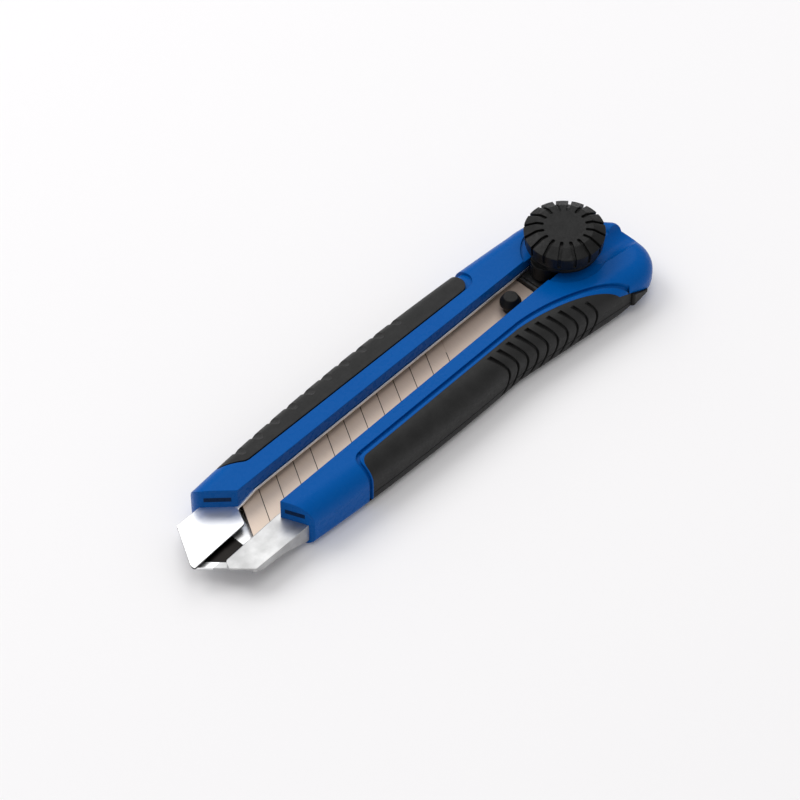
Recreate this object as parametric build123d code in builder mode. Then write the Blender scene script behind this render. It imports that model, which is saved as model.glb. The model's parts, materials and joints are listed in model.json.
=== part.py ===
"""Heavy-duty snap-off knife with a screw lock, for 25 mm blades.

Frame: X runs along the knife with the nose at -X, +Y is the back edge, -Y is the
cutting edge and the belly, and +Z is the knob side. The origin lies on the flat
underside, below the blade's centre line and half way along the knife.
All sizes are in millimetres.
"""

import os
from math import radians, sqrt, tan

from build123d import *

# Blade: the standard 25 mm snap-off blade
BLADE_WIDTH = 25.0
BLADE_THICK = 0.7
BLADE_PITCH = 7.0
SCORE_ANGLE = 60.0
SCORE_COUNT = 12
SCORE_DEPTH = 0.16
SCORE_WIDTH = 0.24
BEVEL_WIDTH = 2.6
BLADE_FRONT = -65.5
BLADE_REAR = 55.4

# Heights above the underside
COVER_TOP = 2.0
FLOOR_TOP = 2.9
CARRIER_BASE = 3.1
BLADE_BASE = 6.8
NOSE_TOP = 8.5
LIP_TOP = 11.0
RAIL_TOP_NOSE = 16.0
RAIL_TOP_TAIL = 14.7
FORM_HEIGHT = 18.0

# Blade channel
STEEL = 0.9
NOSE_STEEL = 0.75
CHANNEL_HALF = 13.65
SLOT_HALF = 5.2
FAR_STEP = -57.0
NEAR_STEP = -46.5
NOSE_TIP = -87.8
CHANNEL_REAR = 79.0
PIN_RADIUS = 1.1
PIN_LENGTH = 28.6
PIN_SPAN_MIDDLE = -0.6
RIVET_X = -46.0
RIVET_SPREAD = (-8, 8)
RIVET_RADIUS = 1.25

# Handle
OUTER_ROUND = 6.2
TAIL_CORNER_ROUND = 10.5
JOINT_ROUND = 25.0
UNDER_ROUND = 3.4
SKIN = 2.4
WINDOW_FAR = 5.7
WINDOW_NEAR_NOSE = -5.8
WINDOW_NEAR_TAIL = -4.5
WINDOW_MIDDLE = (WINDOW_FAR + WINDOW_NEAR_TAIL) / 2

# Cover screws
SCREW_RADIUS = 0.8
SCREW_HEAD = 1.55
SCREW_LENGTH = 7.0
RECESS_SPAN = 1.9
RECESS_WIDTH = 0.45

# Raised rim behind the knob: a rounded bar between two points
HUMP_START = (85.9, -4.4, 12.4)
HUMP_END = (81.2, 3.6, 10.9)
HUMP_RADIUS = 3.2

# Clamp and knob
BOLT_X = 69.2
PEG_X = 45.5
BOLT_RADIUS = 3.0
BOLT_HEAD = 9.0
PEG_RADIUS = 2.1
PEG_HEAD_RADIUS = 3.3
PEG_TOP = 13.4
RUNNING_FIT = 0.05
KNOB_RADIUS = 12.3
KNOB_BASE = 18.6
KNOB_RING = 23.3
KNOB_TOP = 25.2
KNOB_FACE_RADIUS = 8.7
NOTCH_COUNT = 16
NOTCH_WIDTH = 1.0
NOTCH_DEPTH = 0.85
NOTCH_START = 6.8

# Grips
SCALLOP_COUNT = 10
SCALLOP_PITCH = 7.39
SCALLOP_LAST = 14.0
SCALLOP_RADIUS = 1.5
SCALLOP_DEPTH = 1.15
INSERT_GAP = 0.45
RIB_COUNT = 10
RIB_PITCH = 3.9
RIB_FIRST = 25.2
RIB_WIDTH = 0.95
RIB_BOW = 7.5
RIB_DEPTH = 1.0
PARTING_DEPTH = 0.3
PARTING_WIDTH = 0.3
PARTING_HEIGHT = 5.0
INSERT_BASE = 3.2

# Tail cap and the raised rim's valley
CAP_FRONT = 74.1
CAP_TOP = 9.0
CAP_FACE = 20.6
CAP_DEPTH = 3.5
VALLEY_RADIUS = 4.8

# Carrier and nut
CARRIER_FRONT = 41.0
CARRIER_REAR = 76.0
CARRIER_WIDTH = 24.6
PLATE_LENGTH = 19.2
PLATE_THICK = 0.8
PLATE_BASE = 9.0
SADDLE_TOP = 17.45
SADDLE_THICK = 1.1
SADDLE_RADIUS = 10.8
WASHER_BASE = 17.7
WASHER_THICK = 0.8
WASHER_RADIUS = 9.0
NUT_RADIUS = 4.6
NUT_BASE = 19.0
NUT_TOP = 23.0

os.makedirs("parts", exist_ok=True)


def write(builder, name):
    """Label a finished piece and write it as its own STEP file."""
    builder.part.label = name
    export_step(builder.part, f"parts/{name}.step")


# Plan of the handle as tangent-looking arcs (start, middle, end), from the far front
# round the tail to the near front. It is drawn on past the nose, whose faces are cut later.
OUTLINE_ARCS = [
    [(-95, 15.0), (-10, 20.5), (64, 18.2)],
    [(64, 18.2), (82.4, 10.9), (89.9, -3.5)],
    [(89.9, -3.5), (90.0, -12.0), (87.8, -24.5)],
    [(87.8, -24.5), (58, -21.2), (30, -18.0)],
    [(30, -18.0), (-12, -17.9), (-95, -10.5)],
]


# The sole rises towards the near corner of the tail
TAIL_RISE = Plane(origin=(70, -15, 0), z_dir=(-0.24, 0.32, 1))


def outward(arc, at):
    """Unit vector out of the handle at a fraction of the arc's length."""
    return (arc % at).rotate(Axis.Z, 90)


def handle_outline(inset):
    """The plan shrunk by inset, with every arc kept an arc."""
    arcs = [ThreePointArc(*points) for points in OUTLINE_ARCS]
    ends = [arcs[0] @ 0 - outward(arcs[0], 0) * inset]
    for arc, following in zip(arcs, arcs[1:]):
        before, after = outward(arc, 1), outward(following, 0)
        ends.append(arc @ 1 - (before + after) * (inset / (1 + before.dot(after))))
    ends.append(arcs[-1] @ 1 - outward(arcs[-1], 1) * inset)
    with BuildLine() as line:
        for arc, start, end in zip(arcs, ends, ends[1:]):
            ThreePointArc(start, arc @ 0.5 - outward(arc, 0.5) * inset, end)
        Line(ends[-1], ends[0])
    return line.line


def handle_form(inset):
    """The smooth outer shape of the whole handle, shrunk on its sides and top by inset."""
    slope = (RAIL_TOP_NOSE - RAIL_TOP_TAIL) / (BOLT_X + 70)
    top_plane = Plane(origin=(-70, 0, RAIL_TOP_NOSE - inset), z_dir=(slope, 0, 1))
    with BuildPart() as form:
        with BuildSketch():
            add(handle_outline(inset))
            make_face()
            corner_rounds = [JOINT_ROUND, JOINT_ROUND, TAIL_CORNER_ROUND, JOINT_ROUND]
            for arc, radius in zip(OUTLINE_ARCS, corner_rounds):
                fillet(vertices().sort_by_distance(arc[-1])[0], radius - inset)
        extrude(amount=FORM_HEIGHT)
        split(bisect_by=top_plane, keep=Keep.BOTTOM)
        rim = form.faces().sort_by(Axis.Z)[-1].edges()
        fillet([edge for edge in rim if edge.center().X > -90], OUTER_ROUND - inset)
        if not inset:
            sole = form.faces().sort_by(Axis.Z)[0].edges()
            fillet([edge for edge in sole if edge.center().X > -90], UNDER_ROUND)
            split(bisect_by=TAIL_RISE, keep=Keep.TOP)
    return form.part


def plan_prism(points, low, high, round_at=None, radius=1.0):
    """A vertical prism on a plan polygon, with chosen corners rounded."""
    with BuildPart() as prism:
        with BuildSketch(Plane.XY.offset(low)) as plan:
            with BuildLine():
                Polyline(*points, close=True)
            make_face()
            if round_at:
                corners = [v for v in plan.vertices() if any(
                    abs(v.X - x) < 0.01 and abs(v.Y - y) < 0.01 for x, y in round_at)]
                fillet(corners, radius)
        extrude(amount=high - low)
    return prism.part


form = handle_form(0)
skin_core = handle_form(SKIN)
groove_core = handle_form(RIB_DEPTH)
parting_core = handle_form(PARTING_DEPTH)

# ---------------------------------------------------------------- blade channel


def channel_solid(half_width, shrink, steel_ratio):
    """The channel's envelope (shrink 0) or its inside: deep behind, and pressed down
    in the nose to just clear the blade. The lips step down further back on the near side."""
    nose_floor = BLADE_BASE - 0.1 - NOSE_STEEL + shrink * steel_ratio
    nose_roof = NOSE_TOP - shrink * steel_ratio
    with BuildPart() as solid:
        for side, step in ((1, FAR_STEP), (-1, NEAR_STEP)):
            with BuildSketch(Plane.XZ):
                with BuildLine():
                    Polyline(
                        (CHANNEL_REAR, COVER_TOP + shrink),
                        (-56, COVER_TOP + shrink),
                        (-65, 5.0 + shrink * steel_ratio),
                        (-76, nose_floor),
                        (-95, nose_floor),
                        (-95, nose_roof),
                        (step - 7.5, nose_roof),
                        (step, LIP_TOP - shrink),
                        (CHANNEL_REAR, LIP_TOP - shrink),
                        close=True,
                    )
                make_face()
            extrude(amount=-side * half_width)
    return solid.part


stop_pin_place = Location((CHANNEL_REAR - 1.8, PIN_SPAN_MIDDLE, 6), (90, 0, 0))

# plan of the channel: pointed at the nose, with its rear corners cut off
channel_plan = [
    (CHANNEL_REAR, 10.4),
    (CHANNEL_REAR - 3.2, CHANNEL_HALF + 1),
    (-79.9, CHANNEL_HALF + 1),
    (NOSE_TIP - 0.5, -0.2),
    (-75.1, -CHANNEL_HALF - 1),
    (CHANNEL_REAR - 3.2, -CHANNEL_HALF - 1),
    (CHANNEL_REAR, -10.4),
]
channel_prism = plan_prism(channel_plan, 0, FORM_HEIGHT, [channel_plan[3]], 2.2)
with BuildPart() as envelope:
    add(channel_solid(CHANNEL_HALF, 0, 1))
    add(channel_prism, mode=Mode.INTERSECT)
slot_plan = [
    (CHANNEL_REAR + 1, SLOT_HALF),
    (-64.4, SLOT_HALF),
    (-66.8, 0.1),
    (-95, -1.15),
    (-95, -8.0),
    (-81.2, -8.0),
    (-79.8, -5.3),
    (-52, -4.2),
    (-50, -SLOT_HALF),
    (CHANNEL_REAR + 1, -SLOT_HALF),
]
with BuildPart() as blade_channel:
    add(envelope.part)
    add(channel_solid(CHANNEL_HALF - STEEL, STEEL, NOSE_STEEL / STEEL), mode=Mode.SUBTRACT)
    # the floor stops short of the nose's edge, so the roof overhangs it
    floor_front = [(-78.0, 15), (-86.2, -0.2), (-72.9, -15), (-95, -15), (-95, 15)]
    add(plan_prism(floor_front, 0, BLADE_BASE + 0.1), mode=Mode.SUBTRACT)
    slot_corners = [slot_plan[1], slot_plan[2], slot_plan[6]]
    add(plan_prism(slot_plan, BLADE_BASE + 0.5, FORM_HEIGHT, slot_corners, 1.2), mode=Mode.SUBTRACT)
    with Locations(*[Location((RIVET_X, y, COVER_TOP + STEEL)) for y in RIVET_SPREAD]):
        CounterSinkHole(RIVET_RADIUS, 2.2, depth=STEEL)
    with Locations(stop_pin_place):
        Cylinder(PIN_RADIUS, PIN_LENGTH, mode=Mode.SUBTRACT)
write(blade_channel, "blade_channel")

# ---------------------------------------------------------------- soft grips and covers

far_edge = ThreePointArc(*OUTLINE_ARCS[0])
insert_plan = [(-60, 40), (-60.5, 16.4), (-54, 11.7), (39.5, 11.0), (39.5, 40)]
insert_pocket = [
    (-60.8, 40),
    (-61, 16.2),
    (-54.3, 11.7 - INSERT_GAP),
    (42.3, 11.0 - INSERT_GAP),
    (42.3, 40),
]
with BuildPart() as far_insert_blank:
    add(form)
    add(plan_prism(insert_plan, INSERT_BASE, FORM_HEIGHT, insert_plan[2:4], 3.2), mode=Mode.INTERSECT)
    add(skin_core, mode=Mode.SUBTRACT)
with BuildPart() as far_insert_surround:
    add(plan_prism(insert_pocket, 6, FORM_HEIGHT, insert_pocket[2:4], 3.6))
    add(groove_core, mode=Mode.SUBTRACT)
with BuildPart() as far_grip_insert:
    add(far_insert_blank.part)
    # finger scallops along the rounded outer edge, on the middle of its corner
    for index in range(SCALLOP_COUNT):
        x = SCALLOP_LAST - index * SCALLOP_PITCH
        edge_y = far_edge.arc_center.Y + sqrt(far_edge.radius**2 - (x - far_edge.arc_center.X) ** 2)
        top_z = RAIL_TOP_NOSE - (RAIL_TOP_NOSE - RAIL_TOP_TAIL) * (x + 70) / (BOLT_X + 70)
        off_corner = OUTER_ROUND - (OUTER_ROUND + SCALLOP_RADIUS - SCALLOP_DEPTH) * sqrt(0.5)
        with Locations(Location((x, edge_y - off_corner, top_z - off_corner), (45, 0, 12))):
            Cylinder(SCALLOP_RADIUS, 11, mode=Mode.SUBTRACT)
write(far_grip_insert, "far_grip_insert")

with BuildPart() as cover_blank:
    add(form)
    add(plan_prism([(-34, -40), (-34, 40), (100, 40), (100, -40)], -1, COVER_TOP), mode=Mode.INTERSECT)

with BuildPart() as tail_cap:
    with BuildSketch(Plane.XZ.offset(CAP_FACE)):
        with BuildLine():
            Polyline((CAP_FRONT, COVER_TOP), (CAP_FRONT, CAP_TOP), (81, 6), (81, COVER_TOP), close=True)
        make_face()
    extrude(amount=CAP_DEPTH)
    fillet(tail_cap.edges().filter_by(Axis.Z).group_by(Axis.Y)[0], 0.9)
    split(bisect_by=TAIL_RISE, keep=Keep.TOP)
write(tail_cap, "tail_cap")

with BuildPart() as grip_region:
    with BuildSketch(Plane.XY.offset(COVER_TOP)) as grip_plan:
        with BuildLine():
            Line((-31.8, -40), (-31.8, -11.6))
            Line((-31.8, -11.6), (36, -11.1))
            ThreePointArc((36, -11.1), (54.5, -14.9), (69.8, -22.4))
            Line((69.8, -22.4), (69.8, -40))
            Line((69.8, -40), (-31.8, -40))
        make_face()
        fillet(grip_plan.vertices().sort_by_distance((-31.8, -11.6))[0], 3)
    extrude(amount=FORM_HEIGHT)
    # the end below the ledge runs on to the tail cap under a falling top
    with BuildSketch(Plane.XZ.offset(CAP_FACE - 0.2)):
        with BuildLine():
            Polyline(
                (64, COVER_TOP),
                (64, 11.6),
                (70, 10.2),
                (CAP_FRONT, CAP_TOP),
                (CAP_FRONT, COVER_TOP),
                close=True,
            )
        make_face()
    extrude(amount=20)
with BuildPart() as near_grip_blank:
    add(form)
    add(grip_region.part, mode=Mode.INTERSECT)
    add(skin_core, mode=Mode.SUBTRACT)
    add(tail_cap.part, mode=Mode.SUBTRACT)
with BuildPart() as rib_cutters:
    # bowed grooves: each is half of a tube lying across the grip
    for index in range(RIB_COUNT):
        x = RIB_FIRST + index * RIB_PITCH - RIB_BOW
        top_y = 12.4 + max(0, x + RIB_BOW - 34) ** 2 / 120
        with BuildSketch(Plane.XZ.offset(top_y)):
            with Locations((x, 9)):
                Circle(RIB_BOW + RIB_WIDTH / 2)
                Circle(RIB_BOW - RIB_WIDTH / 2, mode=Mode.SUBTRACT)
            with Locations((x + 3.2, 9)):
                Rectangle(20, 30, align=(Align.MAX, Align.CENTER), mode=Mode.SUBTRACT)
            with Locations((x, COVER_TOP + 1)):
                Rectangle(20, 10, align=(Align.CENTER, Align.MAX), mode=Mode.SUBTRACT)
        extrude(amount=20)
    add(groove_core, mode=Mode.SUBTRACT)
with BuildPart() as parting_cutter:
    with BuildSketch(Plane.XY.offset(PARTING_HEIGHT)):
        with Locations((20, -30)):
            Rectangle(110, 30)
    extrude(amount=PARTING_WIDTH / 2, both=True)
    add(parting_core, mode=Mode.SUBTRACT)
with BuildPart() as near_grip:
    add(near_grip_blank.part)
    add(rib_cutters.part, mode=Mode.SUBTRACT)
    add(parting_cutter.part, mode=Mode.SUBTRACT)
write(near_grip, "near_grip")

# ---------------------------------------------------------------- handle body

screw_places = [(-26, 15.7), (58, 14.9), (46, -15.4), (83.5, 1)]
front_faces = [
    (-100, 30),
    (-66, 30),
    (-72.4, 14.3),
    (-63.8, 5.7),
    (-58.1, -6.2),
    (-54.3, -15.2),
    (-50, -30),
    (-100, -30),
]
window = [
    (-95, WINDOW_FAR),
    (BOLT_X, WINDOW_FAR),
    (BOLT_X, WINDOW_NEAR_TAIL),
    (-58, WINDOW_NEAR_NOSE),
    (-95, WINDOW_NEAR_NOSE),
]
with BuildPart() as ledge_groove:
    with BuildSketch(Plane.XY.offset(9)):
        with BuildLine():
            Line((-29.5, -9.4), (38, -9.1))
            ThreePointArc((38, -9.1), (60.5, -14.3), (74.0, -22.0))
            Line((74.0, -22.0), (73.2, -22.9))
            ThreePointArc((73.2, -22.9), (59.9, -15.5), (38, -10.3))
            Line((38, -10.3), (-29.5, -10.6))
            Line((-29.5, -10.6), (-29.5, -9.4))
        make_face()
    extrude(amount=10)
    # the groove turns down round the front corner of the grip
    with BuildSketch(Plane.XY.offset(COVER_TOP)):
        with BuildLine():
            Line((-29.6, -9.4), (-29.6, -10.6))
            JernArc((-29.6, -10.6), (-1, 0), 2.6, 90)
            Line((-32.2, -13.2), (-32.2, -30))
            Line((-32.2, -30), (-33.4, -30))
            Line((-33.4, -30), (-33.4, -13.2))
            JernArc((-33.4, -13.2), (0, 1), 3.8, -90)
        make_face()
    extrude(amount=FORM_HEIGHT)
    add(groove_core, mode=Mode.SUBTRACT)

with BuildPart() as handle_body:
    add(form)
    # raised rim behind the knob
    with Locations(Location(HUMP_START)):
        Sphere(HUMP_RADIUS)
    with Locations(Location(HUMP_END)):
        Sphere(HUMP_RADIUS)
    hump_axis = Vector(HUMP_END) - Vector(HUMP_START)
    with Locations(Plane(origin=(Vector(HUMP_START) + Vector(HUMP_END)) / 2, z_dir=hump_axis).location):
        Cylinder(HUMP_RADIUS, hump_axis.length)
    add(plan_prism(front_faces, -1, 25, [front_faces[2]], 3), mode=Mode.SUBTRACT)
    add(plan_prism(window, NOSE_TOP - 0.5, 25), mode=Mode.SUBTRACT)
    with Locations((BOLT_X, WINDOW_MIDDLE, 18)):
        Cylinder((WINDOW_FAR - WINDOW_NEAR_TAIL) / 2, 14, mode=Mode.SUBTRACT)
    with Locations((BOLT_X, 0, RAIL_TOP_TAIL + 4.4)):
        Cylinder(KNOB_RADIUS + 0.7, 10, mode=Mode.SUBTRACT)
    # valley from the notch in the tail's edge to the knob
    with Locations(Location((88.7, -9.4, 16.4), (0, 98, 14))):
        Cylinder(VALLEY_RADIUS, 60, mode=Mode.SUBTRACT)
    add(envelope.part, mode=Mode.SUBTRACT)
    add(far_insert_blank.part, mode=Mode.SUBTRACT)
    add(far_insert_surround.part, mode=Mode.SUBTRACT)
    add(near_grip_blank.part, mode=Mode.SUBTRACT)
    add(cover_blank.part, mode=Mode.SUBTRACT)
    add(tail_cap.part, mode=Mode.SUBTRACT)
    add(ledge_groove.part, mode=Mode.SUBTRACT)
    with Locations(*[Location((x, y, COVER_TOP), (180, 0, 0)) for x, y in screw_places]):
        Hole(SCREW_RADIUS, depth=SCREW_LENGTH - COVER_TOP)
    with Locations(*[Location((RIVET_X, y, COVER_TOP)) for y in RIVET_SPREAD]):
        Hole(RIVET_RADIUS, depth=1.5)
    with Locations(stop_pin_place):
        Cylinder(PIN_RADIUS, PIN_LENGTH, mode=Mode.SUBTRACT)
write(handle_body, "handle_body")

with BuildPart() as back_cover:
    add(cover_blank.part)
    with Locations(*[Location((x, y, 0), (180, 0, 0)) for x, y in screw_places]):
        CounterSinkHole(SCREW_RADIUS + RUNNING_FIT, SCREW_HEAD + 0.15, depth=COVER_TOP)
write(back_cover, "back_cover")

with BuildPart() as back_cover_screws:
    for x, y in screw_places:
        with BuildSketch(Plane(origin=(x, y, 0), x_dir=(1, 0, 0), z_dir=(0, -1, 0))):
            with BuildLine():
                Polyline(
                    (0, 0.1),
                    (SCREW_HEAD, 0.1),
                    (SCREW_RADIUS, 0.9),
                    (SCREW_RADIUS, SCREW_LENGTH - 0.5),
                    (0, SCREW_LENGTH),
                    close=True,
                )
            make_face()
        revolve(axis=Axis((x, y, 0), (0, 0, 1)))
    with Locations(*[Location((x, y, 0)) for x, y in screw_places]):
        Box(RECESS_SPAN, RECESS_WIDTH, 1.0, mode=Mode.SUBTRACT)
        Box(RECESS_WIDTH, RECESS_SPAN, 1.0, mode=Mode.SUBTRACT)
write(back_cover_screws, "back_cover_screws")

with BuildPart() as channel_rivets:
    head_top = FLOOR_TOP - 0.02
    for y in RIVET_SPREAD:
        with BuildSketch(Plane(origin=(RIVET_X, y, 0), x_dir=(1, 0, 0), z_dir=(0, -1, 0))):
            with BuildLine():
                Polyline(
                    (0, 0.6),
                    (RIVET_RADIUS, 0.6),
                    (RIVET_RADIUS, head_top - 0.9),
                    (RIVET_RADIUS + 0.9, head_top),
                    (0, head_top),
                    close=True,
                )
            make_face()
        revolve(axis=Axis((RIVET_X, y, 0), (0, 0, 1)))
write(channel_rivets, "channel_rivets")

with BuildPart() as end_stop_pin:
    with Locations(stop_pin_place):
        Cylinder(PIN_RADIUS, PIN_LENGTH)
    chamfer(end_stop_pin.edges(), 0.2)
write(end_stop_pin, "end_stop_pin")

# ---------------------------------------------------------------- blade and carrier

half_blade = BLADE_WIDTH / 2
lean = half_blade / tan(radians(SCORE_ANGLE))
with BuildPart() as blade:
    with BuildSketch(Plane.XY.offset(BLADE_BASE)) as blade_plan:
        with BuildLine():
            Polyline(
                (BLADE_FRONT + lean, half_blade),
                (BLADE_FRONT - lean, -half_blade),
                (BLADE_REAR, -half_blade),
                (BLADE_REAR, half_blade),
                close=True,
            )
        make_face()
        chamfer(blade_plan.vertices().group_by(Axis.X)[-1], 2)
    extrude(amount=BLADE_THICK)
    # ground bevel on both faces of the cutting edge
    for face_z, side in ((BLADE_BASE, -1), (BLADE_BASE + BLADE_THICK, 1)):
        with BuildSketch(Plane.YZ.offset(-95)):
            with BuildLine():
                Polyline(
                    (-half_blade + BEVEL_WIDTH, face_z),
                    (-half_blade - 0.1, face_z - side * 0.32),
                    (-half_blade - 0.1, face_z + side * 0.5),
                    (-half_blade + BEVEL_WIDTH, face_z + side * 0.5),
                    close=True,
                )
            make_face()
        extrude(amount=170, mode=Mode.SUBTRACT)
    # score lines across the upper face
    for index in range(SCORE_COUNT):
        x = BLADE_FRONT + BLADE_PITCH * (index + 1)
        score = Location((x, 0, BLADE_BASE + BLADE_THICK), (0, 0, SCORE_ANGLE))
        with Locations(score):
            Box(BLADE_WIDTH * 1.4, SCORE_WIDTH, 2 * SCORE_DEPTH, mode=Mode.SUBTRACT)
    with Locations((PEG_X, 0, BLADE_BASE)):
        Cylinder(PEG_RADIUS + RUNNING_FIT, 4, mode=Mode.SUBTRACT)
write(blade, "blade")

with BuildPart() as blade_carrier:
    with BuildSketch(Plane.XZ.offset(-CARRIER_WIDTH / 2)):
        with BuildLine():
            Polyline(
                (CARRIER_FRONT, CARRIER_BASE),
                (CARRIER_FRONT, BLADE_BASE),
                (BLADE_REAR + 0.3, BLADE_BASE),
                (BLADE_REAR + 0.3, PLATE_BASE),
                (CARRIER_REAR, PLATE_BASE),
                (CARRIER_REAR, CARRIER_BASE),
                close=True,
            )
        make_face()
    extrude(amount=CARRIER_WIDTH)
    chamfer(blade_carrier.edges().filter_by(Axis.Z), 0.8)
    with Locations((PEG_X, 0, 5.3)):
        Cylinder(PEG_RADIUS, 3.01, mode=Mode.SUBTRACT)
    with Locations((BOLT_X, 0, CARRIER_BASE)):
        Box(BOLT_HEAD + 0.2, BOLT_HEAD + 0.2, 6.4, mode=Mode.SUBTRACT)
        Cylinder(BOLT_RADIUS + 0.15, 14, mode=Mode.SUBTRACT)
write(blade_carrier, "blade_carrier")

with BuildPart() as pressure_plate:
    with Locations((BLADE_REAR + 1 + PLATE_LENGTH / 2, 0, PLATE_BASE + PLATE_THICK / 2)):
        Box(PLATE_LENGTH, CARRIER_WIDTH - 0.4, PLATE_THICK)
    chamfer(pressure_plate.edges().filter_by(Axis.Z), 1.5)
    with Locations((BOLT_X, 0, PLATE_BASE)):
        Cylinder(BOLT_RADIUS + 0.1, 4, mode=Mode.SUBTRACT)
write(pressure_plate, "pressure_plate")

with BuildPart() as locating_peg:
    with BuildSketch(Plane(origin=(PEG_X, 0, 0), x_dir=(1, 0, 0), z_dir=(0, -1, 0))):
        with BuildLine():
            Polyline(
                (0, 3.8),
                (PEG_RADIUS, 3.8),
                (PEG_RADIUS, 10.5),
                (PEG_HEAD_RADIUS, 10.5),
                (PEG_HEAD_RADIUS, 11.3),
                (2.2, PEG_TOP),
                (0, PEG_TOP),
                close=True,
            )
        make_face()
    revolve(axis=Axis((PEG_X, 0, 0), (0, 0, 1)))
    fillet(locating_peg.edges().group_by(Axis.Z)[-1], 0.3)
write(locating_peg, "locating_peg")

with BuildPart() as clamp_bolt:
    with Locations((BOLT_X, 0, 4.85)):
        Box(BOLT_HEAD, BOLT_HEAD, 2.6)
    chamfer(clamp_bolt.edges().filter_by(Axis.Z), 0.5)
    with Locations((BOLT_X, 0, 14.4)):
        Cylinder(BOLT_RADIUS, 16.8)
    chamfer(clamp_bolt.edges().group_by(Axis.Z)[-1], 0.5)
write(clamp_bolt, "clamp_bolt")

with BuildPart() as knob_saddle:
    with BuildSketch(Plane.XY.offset(LIP_TOP + 0.3)):
        with Locations((BOLT_X - 4, WINDOW_MIDDLE)):
            SlotOverall(16.4, 8.4)
    extrude(amount=SADDLE_TOP - SADDLE_THICK - LIP_TOP - 0.3)
    with Locations((BOLT_X, 0, SADDLE_TOP - SADDLE_THICK / 2)):
        Cylinder(SADDLE_RADIUS, SADDLE_THICK)
    fillet(knob_saddle.edges().group_by(Axis.Z)[-1], 0.4)
    with Locations((BOLT_X, 0, 14)):
        Cylinder(BOLT_RADIUS + 0.2, 12, mode=Mode.SUBTRACT)
write(knob_saddle, "knob_saddle")

# ---------------------------------------------------------------- knob

with BuildPart() as thrust_washer:
    with Locations((BOLT_X, 0, WASHER_BASE + WASHER_THICK / 2)):
        Cylinder(WASHER_RADIUS, WASHER_THICK)
        Cylinder(BOLT_RADIUS + 0.3, 2, mode=Mode.SUBTRACT)
write(thrust_washer, "thrust_washer")

knob_profile = [
    (0, KNOB_TOP),
    (KNOB_FACE_RADIUS, KNOB_TOP),
    (KNOB_RADIUS, KNOB_RING),
    (KNOB_RADIUS - 0.5, KNOB_BASE),
    (0, KNOB_BASE),
]
with BuildPart() as knob_notch:
    with BuildSketch(Plane.XZ):
        with BuildLine():
            Polyline(
                (NOTCH_START, KNOB_TOP + 1),
                (NOTCH_START, KNOB_TOP - NOTCH_DEPTH),
                (KNOB_FACE_RADIUS - 0.3, KNOB_TOP - NOTCH_DEPTH),
                (KNOB_RADIUS - NOTCH_DEPTH, KNOB_RING - 0.6),
                (KNOB_RADIUS - NOTCH_DEPTH, KNOB_BASE + 1),
                (KNOB_RADIUS + 2, KNOB_BASE + 1),
                (KNOB_RADIUS + 2, KNOB_TOP + 1),
                close=True,
            )
        make_face()
    extrude(amount=NOTCH_WIDTH / 2, both=True)
    with Locations((NOTCH_START, 0, KNOB_TOP + 0.5 - NOTCH_DEPTH / 2)):
        Cylinder(NOTCH_WIDTH / 2, NOTCH_DEPTH + 1)
with BuildPart() as knob_blank:
    with BuildSketch(Plane.XZ):
        with BuildLine():
            Polyline(*knob_profile, close=True)
        make_face()
    revolve(axis=Axis.Z)
    fillet(knob_blank.edges().group_by(Axis.Z)[-1], 0.8)
    fillet(knob_blank.edges().group_by(Axis.Z)[0], 0.5)
    with PolarLocations(0, NOTCH_COUNT, start_angle=180 / NOTCH_COUNT):
        add(knob_notch.part, mode=Mode.SUBTRACT)
    Cylinder(BOLT_RADIUS + 0.3, 2 * (NUT_TOP + 0.3), mode=Mode.SUBTRACT)
    with Locations((0, 0, (KNOB_BASE - 1 + NUT_TOP) / 2)):
        Cylinder(NUT_RADIUS, NUT_TOP - KNOB_BASE + 1, mode=Mode.SUBTRACT)
with BuildPart() as lock_knob:
    with Locations((BOLT_X, 0, 0)):
        add(knob_blank.part)
write(lock_knob, "lock_knob")

with BuildPart() as knob_nut:
    with Locations((BOLT_X, 0, (NUT_BASE + NUT_TOP) / 2)):
        Cylinder(NUT_RADIUS, NUT_TOP - NUT_BASE)
        Cylinder(BOLT_RADIUS + RUNNING_FIT, 10, mode=Mode.SUBTRACT)
write(knob_nut, "knob_nut")
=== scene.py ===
"""Looks of the snap-off knife: materials for every piece, soft studio light and the
camera. Every length is in metres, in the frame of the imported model."""

import json
import math

import bpy
from mathutils import Matrix, Vector

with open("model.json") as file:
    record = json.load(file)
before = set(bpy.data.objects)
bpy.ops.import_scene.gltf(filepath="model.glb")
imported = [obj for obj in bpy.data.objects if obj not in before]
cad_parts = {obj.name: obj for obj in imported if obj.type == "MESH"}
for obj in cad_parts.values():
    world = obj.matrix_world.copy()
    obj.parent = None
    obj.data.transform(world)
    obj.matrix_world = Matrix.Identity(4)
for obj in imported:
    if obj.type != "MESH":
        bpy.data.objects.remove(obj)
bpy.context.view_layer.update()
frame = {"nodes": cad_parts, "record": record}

MM = 0.001

# the blade's score lines, as they are in the model
BLADE_PITCH = 7.0 * MM
BLADE_FRONT = -65.5 * MM
SCORE_ANGLE = 60.0
SCORE_WIDTH = 0.26 * MM
SCORES_END = 20 * MM
# the blade's colour from its front to its rear end; its darkening towards the rear is painted
# shade near the knob
BLADE_SPAN = (-70 * MM, 60 * MM)
BLADE_TONES_AND_SHADE = [(0.0, (0.74, 0.60, 0.49)), (0.6, (0.62, 0.49, 0.40)), (1.0, (0.50, 0.40, 0.33))]
SCORE_SHADE_COLOUR = (0.05, 0.035, 0.03)

# the floor of the nose: its height, and the direction back from its front edge
NOSE_FLOOR = 6.7 * MM
LIP_SLOPE = (0.744, 0.668)
LIP_BACK = -62.2 * MM

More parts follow.
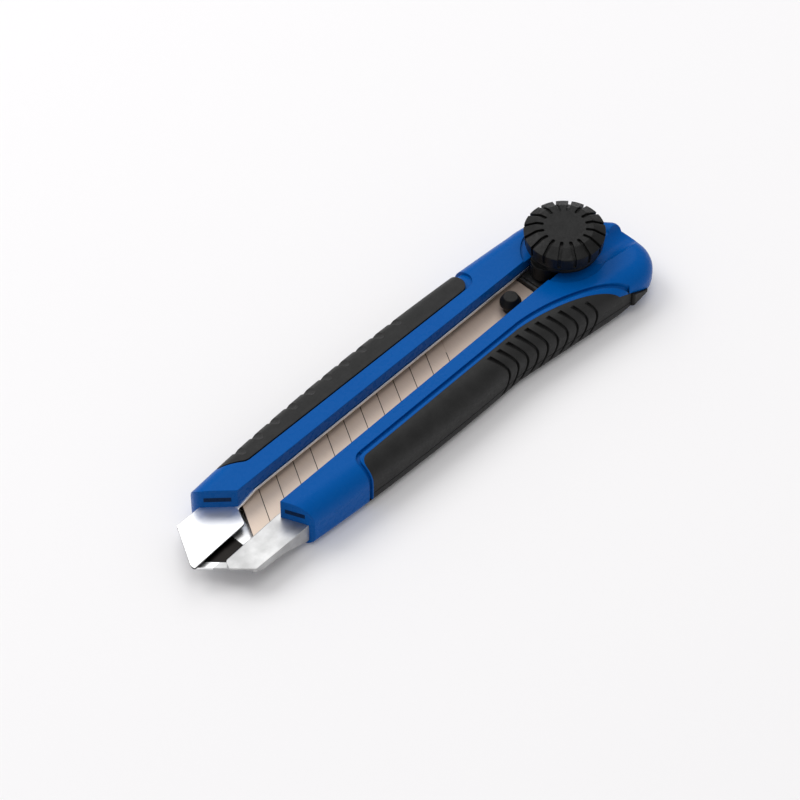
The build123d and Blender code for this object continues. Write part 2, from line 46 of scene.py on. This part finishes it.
# other limits of the channel's painted shading
NEAR_STRIP = -3.5 * MM
CHANNEL_INSIDE = 12.6 * MM
CUT_EDGE_HEIGHTS = (7.7 * MM, 8.36 * MM)
CUT_EDGE_SPAN = (-2.5 * MM, 13.3 * MM)
LIP_HEIGHT = 10.8 * MM
LIP_CORNER = (5.5 * MM, 6.2 * MM)
SHADE_COLOUR = (0.02, 0.018, 0.017)

# where the painted shade of two hollows lies on the front ends of the rails
HOLLOW_BASE, HOLLOW_TOP = 11.0 * MM, 12.8 * MM
HOLLOW_FAR = (7.0 * MM, 12.6 * MM)
HOLLOW_NEAR = (-12.6 * MM, -7.0 * MM)
HOLLOW_REAR = -50 * MM
HOLLOW_SHADE_COLOUR = (0.0, 0.015, 0.06)


# ---------------------------------------------------------------- node helpers


class Material:
    """A procedural material: a Principled shader with texture nodes in object space."""

    def __init__(self, name):
        self.data = bpy.data.materials.new(name)
        self.data.use_nodes = True
        self.nodes = self.data.node_tree.nodes
        self.links = self.data.node_tree.links
        self.shader = self.nodes["Principled BSDF"]
        self.place = self.nodes.new("ShaderNodeTexCoord").outputs["Object"]

    def soften(self, radius):
        """Edges shaded as if they were rounded to a radius in metres."""
        node = self.nodes.new("ShaderNodeBevel")
        node.samples = 6
        node.inputs["Radius"].default_value = radius
        self.link(node.outputs["Normal"], self.shader.inputs["Normal"])
        return self

    def set(self, **values):
        for name, value in values.items():
            self.shader.inputs[name.replace("_", " ")].default_value = value

    def link(self, source, target):
        self.links.new(source, target)

    def stretched(self, scale):
        """Object coordinates scaled along each axis, for grain that runs one way."""
        node = self.nodes.new("ShaderNodeMapping")
        node.inputs["Scale"].default_value = scale
        self.link(self.place, node.inputs["Vector"])
        return node.outputs["Vector"]

    def position(self):
        """The X, Y and Z of a place on the piece, in metres."""
        split = self.nodes.new("ShaderNodeSeparateXYZ")
        self.link(self.place, split.inputs["Vector"])
        return split.outputs

    def noise(self, scale, detail=3.0, place=None):
        node = self.nodes.new("ShaderNodeTexNoise")
        node.inputs["Scale"].default_value = scale
        node.inputs["Detail"].default_value = detail
        self.link(place or self.place, node.inputs["Vector"])
        return node.outputs["Fac"]

    def ramp(self, source, stops):
        """A colour or grey ramp; stops are (position, rgb or grey)."""
        node = self.nodes.new("ShaderNodeValToRGB")
        elements = node.color_ramp.elements
        while len(elements) < len(stops):
            elements.new(0.5)
        for element, (position, colour) in zip(elements, stops):
            element.position = position
            rgb = colour if isinstance(colour, tuple) else (colour,) * 3
            element.color = (*rgb, 1)
        self.link(source, node.inputs["Fac"])
        return node.outputs["Color"]

    def spread(self, source, low, high):
        """A grey source stretched to run from low to high."""
        node = self.nodes.new("ShaderNodeMapRange")
        node.inputs["From Min"].default_value = 0.3
        node.inputs["From Max"].default_value = 0.7
        node.inputs["To Min"].default_value = low
        node.inputs["To Max"].default_value = high
        self.link(source, node.inputs["Value"])
        return node.outputs["Result"]

    def along(self, axis, start, end):
        """0 to 1 from start to end along an axis of the frame."""
        node = self.nodes.new("ShaderNodeMapRange")
        node.inputs["From Min"].default_value = start
        node.inputs["From Max"].default_value = end
        self.link(self.position()[axis], node.inputs["Value"])
        return node.outputs["Result"]

    def math(self, operation, first, second=0.0):
        node = self.nodes.new("ShaderNodeMath")
        node.operation = operation
        for value, socket in ((first, 0), (second, 1)):
            if isinstance(value, (int, float)):
                node.inputs[socket].default_value = value
            else:
                self.link(value, node.inputs[socket])
        return node.outputs["Value"]

    def between(self, value, low, high):
        """1 where a value lies between two limits."""
        above = self.math("GREATER_THAN", value, low)
        return self.math("MULTIPLY", above, self.math("LESS_THAN", value, high))

    def mixed(self, factor, first, second, mode="MIX"):
        node = self.nodes.new("ShaderNodeMix")
        node.data_type = "RGBA"
        node.blend_type = mode
        for value, socket in ((factor, 0), (first, 6), (second, 7)):
            if isinstance(value, (int, float)):
                node.inputs[socket].default_value = value
            elif isinstance(value, tuple):
                node.inputs[socket].default_value = (*value, 1)
            else:
                self.link(value, node.inputs[socket])
        return node.outputs[2]

    def bump(self, source, strength, distance):
        node = self.nodes.new("ShaderNodeBump")
        node.inputs["Strength"].default_value = strength
        node.inputs["Distance"].default_value = distance
        self.link(source, node.inputs["Height"])
        if self.shader.inputs["Normal"].is_linked:
            self.link(self.shader.inputs["Normal"].links[0].from_socket, node.inputs["Normal"])
        self.link(node.outputs["Normal"], self.shader.inputs["Normal"])


# ---------------------------------------------------------------- materials


def blue_abs():
    m = Material("blue_abs").soften(0.35 * MM)
    m.set(Specular_IOR_Level=0.06)
    mottle = m.ramp(m.noise(60, 3), [(0.3, (0.0, 0.084, 0.345)), (0.7, (0.0, 0.088, 0.355))])
    # painted shade stands for hollows in the rails' front ends, which are flat in the model
    x, y, z = m.position()
    hollow_shade = m.between(z, HOLLOW_BASE, HOLLOW_TOP)
    ends = m.math("ADD", m.between(y, *HOLLOW_FAR), m.between(y, *HOLLOW_NEAR))
    nose = m.math("LESS_THAN", x, HOLLOW_REAR)
    hollow_shade = m.math("MULTIPLY", m.math("MULTIPLY", hollow_shade, ends), nose)
    m.link(m.mixed(hollow_shade, mottle, HOLLOW_SHADE_COLOUR), m.shader.inputs["Base Color"])
    m.link(m.spread(m.noise(500, 3), 0.24, 0.32), m.shader.inputs["Roughness"])
    m.bump(m.noise(3000, 2), 0.03, 0.00002)
    return m.data


def black_tpr():
    m = Material("black_tpr").soften(0.3 * MM)
    m.set(Specular_IOR_Level=0.24)
    m.link(m.ramp(m.noise(260, 5), [(0.3, 0.011), (0.7, 0.017)]), m.shader.inputs["Base Color"])
    m.link(m.spread(m.noise(1400, 3), 0.46, 0.60), m.shader.inputs["Roughness"])
    m.bump(m.noise(5200, 3), 0.3, 0.00006)
    return m.data


def black_plastic():
    m = Material("black_plastic").soften(0.35 * MM)
    m.set(Specular_IOR_Level=0.20)
    m.link(m.ramp(m.noise(420, 5), [(0.3, 0.003), (0.7, 0.008)]), m.shader.inputs["Base Color"])
    m.link(m.spread(m.noise(1500, 4), 0.30, 0.52), m.shader.inputs["Roughness"])
    m.bump(m.noise(2600, 5), 0.5, 0.00010)
    return m.data


def stainless():
    """Pressed stainless: bright on the far side and darker and mottled on the near strip. Painted
    shading darkens the nose floor behind its polished lip, the cut edges and one corner."""
    m = Material("satin_stainless").soften(0.3 * MM)
    m.set(Metallic=1.0)
    x, y, z = m.position()
    darker_mottle = m.ramp(m.noise(160, 4), [(0.35, 0.40), (0.65, 0.58)])
    bright = m.ramp(m.noise(120, 3), [(0.3, 0.90), (0.7, 0.95)])
    tone = m.mixed(m.math("LESS_THAN", y, NEAR_STRIP), bright, darker_mottle)
    # how far back a place is from the floor's slanted front edge
    back = m.math("ADD", m.math("MULTIPLY", x, LIP_SLOPE[0]), m.math("MULTIPLY", y, LIP_SLOPE[1]))
    on_floor = m.between(z, NOSE_FLOOR - 0.4 * MM, NOSE_FLOOR + 0.5 * MM)
    inside = m.math("LESS_THAN", m.math("ABSOLUTE", y), CHANNEL_INSIDE)
    behind_lip = m.math("GREATER_THAN", back, LIP_BACK)
    dark = m.math("MULTIPLY", m.math("MULTIPLY", on_floor, inside), behind_lip)
    # cut edges of the far flap, and the corner between the far lip and the rail
    cut_edge = m.math("MULTIPLY", m.between(z, *CUT_EDGE_HEIGHTS), m.between(y, *CUT_EDGE_SPAN))
    on_lip = m.math("GREATER_THAN", z, LIP_HEIGHT)
    corner = m.math("MULTIPLY", on_lip, m.between(y, *LIP_CORNER))
    dark = m.math("MAXIMUM", dark, m.math("MAXIMUM", cut_edge, corner))
    m.link(m.mixed(dark, tone, SHADE_COLOUR), m.shader.inputs["Base Color"])
    rolled = m.noise(1.0, 4, m.stretched((120, 9000, 9000)))
    m.link(m.spread(rolled, 0.30, 0.42), m.shader.inputs["Roughness"])
    m.bump(rolled, 0.05, 0.00002)
    return m.data


def blade_steel():
    """Ground steel with painted shade in its score grooves; painted shade darkens the plate
    towards its rear end, near the knob.
    """
    m = Material("ground_blade_steel")
    m.set(Metallic=0.3)
    ground = m.noise(1.0, 4, m.stretched((9000, 160, 9000)))
    # the plate darkens towards its rear end: painted shade near the knob
    tone = m.ramp(m.along("X", *BLADE_SPAN), BLADE_TONES_AND_SHADE)
    steel = m.mixed(0.3, tone, m.ramp(ground, [(0.3, 0.42), (0.7, 0.75)]), "SOFT_LIGHT")
    x, y, _ = m.position()
    lean = math.radians(SCORE_ANGLE)
    across = m.math("SUBTRACT", m.math("MULTIPLY", x, math.sin(lean)),
                    m.math("MULTIPLY", y, math.cos(lean)))
    pitch = BLADE_PITCH * math.sin(lean)
    # a whole number of pitches keeps the count positive, and half of one centres each line
    shift = 20.5 - BLADE_FRONT / BLADE_PITCH
    turn = m.math("FRACT", m.math("ADD", m.math("DIVIDE", across, pitch), shift))
    off_line = m.math("MULTIPLY", m.math("ABSOLUTE", m.math("SUBTRACT", turn, 0.5)), pitch)
    in_line = m.math("LESS_THAN", off_line, SCORE_WIDTH / 2)
    score_shade = m.math("MULTIPLY", in_line, m.math("LESS_THAN", x, SCORES_END))
    # painted shade in the score grooves
    m.link(m.mixed(score_shade, steel, SCORE_SHADE_COLOUR), m.shader.inputs["Base Color"])
    m.link(m.spread(ground, 0.42, 0.54), m.shader.inputs["Roughness"])
    m.bump(ground, 0.08, 0.00002)
    return m.data


def cast_metal():
    m = Material("zinc_casting").soften(0.2 * MM)
    m.set(Metallic=1.0)
    m.link(m.ramp(m.noise(700, 5), [(0.3, 0.07), (0.7, 0.12)]), m.shader.inputs["Base Color"])
    m.link(m.spread(m.noise(1500, 4), 0.5, 0.7), m.shader.inputs["Roughness"])
    m.bump(m.noise(2500, 4), 0.3, 0.00008)
    return m.data


def plated_steel():
    m = Material("zinc_plated_steel").soften(0.15 * MM)
    m.set(Metallic=1.0)
    m.link(m.ramp(m.noise(400, 4), [(0.3, 0.5), (0.7, 0.64)]), m.shader.inputs["Base Color"])
    m.link(m.spread(m.noise(1200, 4), 0.25, 0.42), m.shader.inputs["Roughness"])
    m.bump(m.noise(2500, 3), 0.1, 0.00004)
    return m.data


# plated steel darkened to stand for the knob's shade on the pressure plate: painted shade
def shaded_spring_steel():
    m = Material("spring_steel_painted_shade").soften(0.15 * MM)
    m.set(Metallic=0.6)
    m.link(m.ramp(m.noise(600, 4), [(0.3, 0.02), (0.7, 0.045)]), m.shader.inputs["Base Color"])
    m.link(m.spread(m.noise(1300, 4), 0.40, 0.58), m.shader.inputs["Roughness"])
    m.bump(m.noise(2500, 3), 0.15, 0.00004)
    return m.data


def turned_brass():
    m = Material("turned_brass").soften(0.15 * MM)
    m.set(Metallic=1.0)
    brass = m.ramp(m.noise(500, 3), [(0.3, (0.66, 0.47, 0.18)), (0.7, (0.75, 0.56, 0.25))])
    m.link(brass, m.shader.inputs["Base Color"])
    m.link(m.spread(m.noise(1500, 3), 0.22, 0.35), m.shader.inputs["Roughness"])
    m.bump(m.noise(2500, 3), 0.08, 0.00003)
    return m.data


finishes = {
    "blue_abs": blue_abs(),
    "black_tpr": black_tpr(),
    "black_plastic": black_plastic(),
    "stainless": stainless(),
    "blade_steel": blade_steel(),
    "carrier_metal": cast_metal(),
    "plated_steel": plated_steel(),
    "nut_brass": turned_brass(),
}
# the pressure plate under the knob takes the darker copy, as painted shade
shaded_plate_finish = shaded_spring_steel()
for part in frame["record"]["subparts"]:
    node = frame["nodes"][part["node"]]
    node.data.materials.clear()
    finish = finishes[part["material_slot"]]
    node.data.materials.append(shaded_plate_finish if part["node"] == "pressure_plate" else finish)


# ---------------------------------------------------------------- studio

BACK = Vector((-0.470, -0.440, 0.765)).normalized()
CAMERA_PLACE = Vector((-0.4830, -0.4497, 0.7891))
LENS_MM = 157.5

FLOOR_HALF = 3.0
FLOOR_TONES = [(0.3, (0.905, 0.895, 0.905)), (0.7, (0.915, 0.905, 0.913))]
WORLD_STRENGTH = 0.54
# name, place, side and power of each softbox
LIGHTS = [
    ("key", (-0.3, 1.2, 1.5), 1.1, 13),
    ("mirror_fill", (0.94, 0.88, 1.53), 1.3, 7),
    ("overhead", (0.0, -0.15, 1.9), 1.0, 6),
]


def stage_floor():
    mesh = bpy.data.meshes.new("floor")
    signs = [(-1, -1), (1, -1), (1, 1), (-1, 1)]
    corners = [(FLOOR_HALF * x, FLOOR_HALF * y, 0) for x, y in signs]
    mesh.from_pydata(corners, [], [(0, 1, 2, 3)])
    floor = bpy.data.objects.new("floor", mesh)
    bpy.context.scene.collection.objects.link(floor)
    m = Material("pale_floor")
    m.set(Roughness=0.9, Specular_IOR_Level=0.1)
    m.link(m.ramp(m.noise(3, 2), FLOOR_TONES), m.shader.inputs["Base Color"])
    mesh.materials.append(m.data)


def softbox(name, place, side, power):
    """A square area light at place, aimed at the middle of the knife."""
    light = bpy.data.lights.new(name, "AREA")
    light.shape = "RECTANGLE"
    light.size = light.size_y = side
    light.energy = power
    lamp = bpy.data.objects.new(name, light)
    lamp.location = place
    lamp.rotation_euler = (-Vector(place)).to_track_quat("-Z", "Y").to_euler()
    bpy.context.scene.collection.objects.link(lamp)


def studio_light():
    world = bpy.data.worlds.new("studio")
    bpy.context.scene.world = world
    world.use_nodes = True
    world.node_tree.nodes["Background"].inputs["Color"].default_value = (1, 1, 1, 1)
    world.node_tree.nodes["Background"].inputs["Strength"].default_value = WORLD_STRENGTH
    for light in LIGHTS:
        softbox(*light)


def camera():
    data = bpy.data.cameras.new("camera")
    data.sensor_width = 36
    data.lens = LENS_MM
    data.clip_start = 0.05
    view = bpy.data.objects.new("camera", data)
    right = Vector((-BACK.y, BACK.x, 0)).normalized()
    up = BACK.cross(right)
    turn = Matrix((right, up, BACK)).transposed()
    view.matrix_world = Matrix.Translation(CAMERA_PLACE) @ turn.to_4x4()
    bpy.context.scene.collection.objects.link(view)
    bpy.context.scene.camera = view


stage_floor()
studio_light()
camera()
bpy.context.scene.view_settings.view_transform = "Standard"
